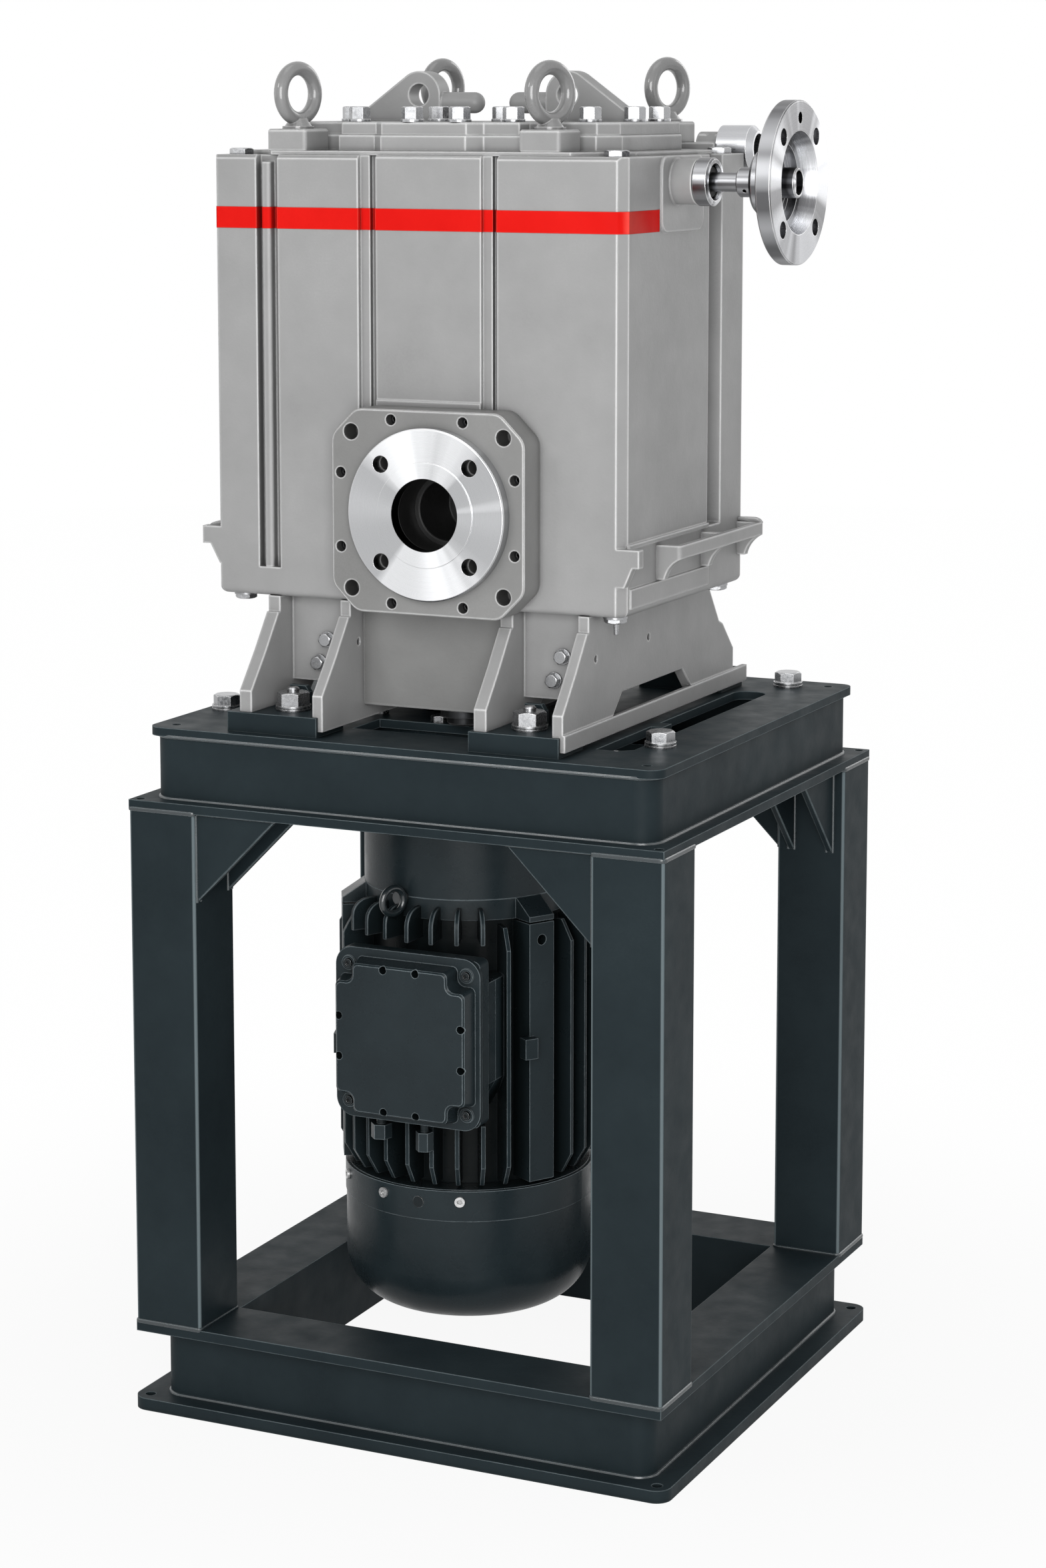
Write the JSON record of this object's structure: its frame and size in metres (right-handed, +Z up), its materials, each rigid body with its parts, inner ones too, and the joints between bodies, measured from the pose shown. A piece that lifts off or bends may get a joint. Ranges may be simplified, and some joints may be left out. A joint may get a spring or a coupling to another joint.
{
  "type": "dry claw vacuum pump",
  "caption": "Dry claw vacuum pump with a flanged outlet, on a welded stand with its vertical motor hung below; the claw rotors turn together through timing gears.",
  "frame": {"origin": "centre of the base plate's underside, between its four corner holes", "axes": "+Z up; +X to the right along the line between the two shafts; -Y is the front, where the outlet flange looks"},
  "size_m": [0.7182, 0.651, 1.5543],
  "materials": {
    "pump_grey": "satin grey paint over castings",
    "stand_dark": "satin dark blue-grey paint",
    "motor_dark": "satin dark blue-grey paint on castings",
    "machined_steel": "turned and faced, bright",
    "zinc_bolts": "bright zinc plate",
    "lifting_grey": "satin grey paint",
    "dark_screws": "blackened",
    "case_steel": "ground",
    "claw_iron": "machined cast iron",
    "core_steel": "stacked laminations",
    "seal_rubber": "matt black",
    "spider_rubber": "matt",
    "fan_plastic": "matt"
  },
  "bodies": {
    "pump_and_stand": {"bearings": "case_steel", "cable_glands": "motor_dark", "cover_lower": "pump_grey", "cover_upper": "pump_grey", "drain_plug": "dark_screws", "eye_blocks": "pump_grey", "eye_bolts": "lifting_grey", "fan_cowl": "motor_dark", "foot_left": "pump_grey", "foot_pads": "stand_dark", "foot_right": "pump_grey", "gearbox_case": "pump_grey", "gearbox_cover": "dark_screws", "lifting_lugs": "pump_grey", "motor_bell": "motor_dark", "motor_frame": "motor_dark", "motor_front_shield": "motor_dark", "motor_rear_shield": "motor_dark", "motor_stator": "core_steel", "outlet_flange": "machined_steel", "outlet_pad": "pump_grey", "pad_screws": "dark_screws", "pump_block": "pump_grey", "pump_bolts": "zinc_bolts", "rail_left": "pump_grey", "rail_right": "pump_grey", "rear_collar": "machined_steel", "rear_header": "pump_grey", "shaft_seals": "seal_rubber", "side_nut": "machined_steel", "side_ring": "machined_steel", "side_seal": "seal_rubber", "side_spider": "machined_steel", "side_tube": "machined_steel", "small_screws": "zinc_bolts", "stage_plates": "claw_iron", "stand_base": "stand_dark", "stand_bolts": "zinc_bolts", "stand_gussets": "stand_dark", "stand_leg_front_left": "stand_dark", "stand_leg_front_right": "stand_dark", "stand_leg_rear_left": "stand_dark", "stand_leg_rear_right": "stand_dark", "stand_top_frame": "stand_dark", "terminal_box": "motor_dark", "terminal_lid": "motor_dark", "top_plate": "pump_grey"},
    "drive_rotor": {"drive_shaft": "case_steel", "drive_gear": "case_steel", "drive_claws": "claw_iron", "coupling_hub_pump": "claw_iron", "coupling_spider": "spider_rubber", "coupling_hub_motor": "claw_iron", "motor_shaft": "case_steel", "motor_rotor": "core_steel", "motor_fan": "fan_plastic"},
    "driven_rotor": {"driven_shaft": "case_steel", "driven_gear": "case_steel", "driven_claws": "claw_iron"}
  },
  "joints": [
    {"name": "drive_spin", "type": "hinge", "parent": "pump_and_stand", "child": "drive_rotor", "pos_m": [-0.048, -0.02, 0.7], "axis": [0, 0, 1], "continuous": true},
    {"name": "driven_spin", "type": "hinge", "parent": "pump_and_stand", "child": "driven_rotor", "pos_m": [0.072, -0.02, 1.2], "axis": [0, 0, 1], "continuous": true}
  ],
  "couplings": [
    {"joint": "driven_spin", "follows": "drive_spin", "ratio": -1}
  ]
}
